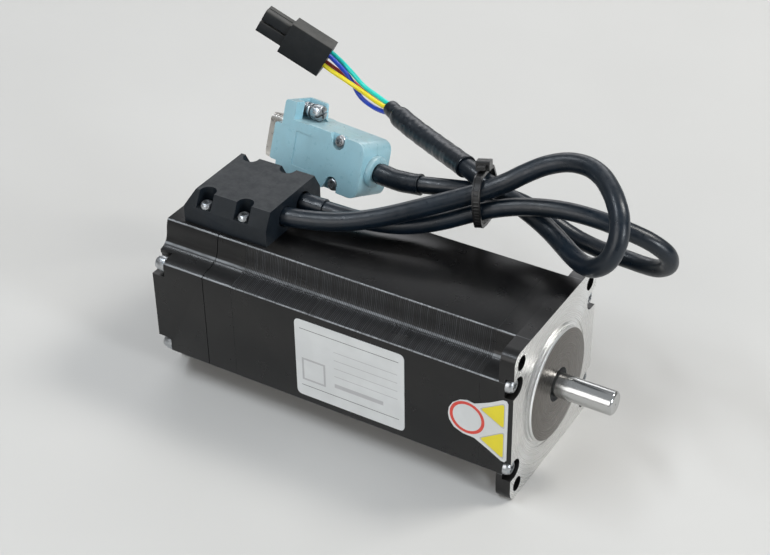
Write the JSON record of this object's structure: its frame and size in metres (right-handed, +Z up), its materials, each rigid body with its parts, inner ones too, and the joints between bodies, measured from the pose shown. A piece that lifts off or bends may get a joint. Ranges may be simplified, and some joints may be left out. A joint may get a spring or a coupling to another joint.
{
  "type": "servo motor",
  "caption": "Square-flanged closed-loop stepper servo motor with a plain output shaft, rear encoder housing, cable cover, power lead and encoder lead with connectors.",
  "frame": {"origin": "centre of the output shaft's flat end face", "axes": "+X points out along the output shaft, +Z up through the cable cover, +Y to the far side of the motor as seen from its label side"},
  "size_m": [0.178, 0.1097, 0.0919],
  "materials": {
    "black_gloss": "semi-gloss black paint",
    "flange_aluminium": "turned bright face, black sides",
    "cover_plastic": "matte black",
    "steel": "ground",
    "zinc": "bright zinc plated",
    "copper": "enamelled copper wire",
    "insulator": "moulded",
    "magnet": "plated magnet",
    "core": "stacked steel laminations, ground",
    "hub": "machined",
    "disc": "coated film disc",
    "board": "solder resist",
    "black_plastic": "moulded",
    "cable_rubber": "satin jacket",
    "shrink_sleeve": "shrunk tube",
    "wire_green": "insulation",
    "wire_yellow": "insulation",
    "wire_blue": "insulation",
    "wire_red": "insulation",
    "hood_blue": "moulded light blue",
    "label_white": "printed film, no text"
  },
  "bodies": {
    "housing": {"front_end_cap": "flange_aluminium", "stator_stack": "black_gloss", "rear_end_cap": "black_gloss", "encoder_cover": "black_gloss", "phase_a_winding": "copper", "phase_b_winding": "copper", "slot_insulator_front": "insulator", "slot_insulator_rear": "insulator", "cable_exit_cover": "cover_plastic", "front_bearing_outer_race": "steel", "rear_bearing_outer_race": "steel", "wave_washer": "steel", "front_bolt_near_top": "zinc", "front_bolt_far_top": "zinc", "front_bolt_far_bottom": "zinc", "front_bolt_near_bottom": "zinc", "rear_screw_near_top": "zinc", "rear_screw_far_top": "zinc", "rear_screw_far_bottom": "zinc", "rear_screw_near_bottom": "zinc", "cover_screw_1": "zinc", "cover_screw_2": "zinc", "cover_screw_3": "zinc", "cover_screw_4": "zinc", "hood_screw_upper": "zinc", "hood_screw_lower": "zinc", "dsub_shell": "zinc", "encoder_board": "board", "encoder_reader": "black_plastic", "dsub_insert": "black_plastic", "power_plug_housing": "black_plastic", "cable_tie": "black_plastic", "nameplate_label": "label_white", "side_sticker": "label_white", "power_cable": "cable_rubber", "encoder_cable": "cable_rubber", "power_lead_sleeve": "shrink_sleeve", "encoder_exit_sleeve": "shrink_sleeve", "encoder_hood_sleeve": "shrink_sleeve", "lead_wire_green": "wire_green", "lead_wire_yellow": "wire_yellow", "lead_wire_blue": "wire_blue", "lead_wire_red": "wire_red", "hood_near_shell": "hood_blue", "hood_far_shell": "hood_blue"},
    "rotor": {"shaft": "steel", "rotor_core_front": "core", "rotor_core_rear": "core", "rotor_magnet": "magnet", "front_bearing_inner_race": "steel", "rear_bearing_inner_race": "steel", "encoder_hub": "hub", "encoder_disc": "disc"},
    "front_balls": {"front_ball_set": "steel"},
    "rear_balls": {"rear_ball_set": "steel"},
    "upper_jackscrew": {"jackscrew_upper": "zinc"},
    "lower_jackscrew": {"jackscrew_lower": "zinc"}
  },
  "joints": [
    {"name": "shaft_spin", "type": "hinge", "parent": "housing", "child": "rotor", "pos_m": [0, 0, 0], "axis": [1, 0, 0], "continuous": true},
    {"name": "front_balls_roll", "type": "hinge", "parent": "housing", "child": "front_balls", "pos_m": [-0.0285, 0, 0], "axis": [1, 0, 0], "continuous": true},
    {"name": "rear_balls_roll", "type": "hinge", "parent": "housing", "child": "rear_balls", "pos_m": [-0.1265, 0, 0], "axis": [1, 0, 0], "continuous": true},
    {"name": "upper_jackscrew_turn", "type": "hinge", "parent": "housing", "child": "upper_jackscrew", "pos_m": [-0.13719, 0.04401, 0.04335], "axis": [0.9892, -0.1443, 0.0247], "continuous": true},
    {"name": "lower_jackscrew_turn", "type": "hinge", "parent": "housing", "child": "lower_jackscrew", "pos_m": [-0.13784, 0.0355, 0.01986], "axis": [0.9892, -0.1443, 0.0247], "continuous": true}
  ],
  "couplings": [
    {"joint": "front_balls_roll", "follows": "shaft_spin", "ratio": 0.383},
    {"joint": "rear_balls_roll", "follows": "shaft_spin", "ratio": 0.383}
  ]
}
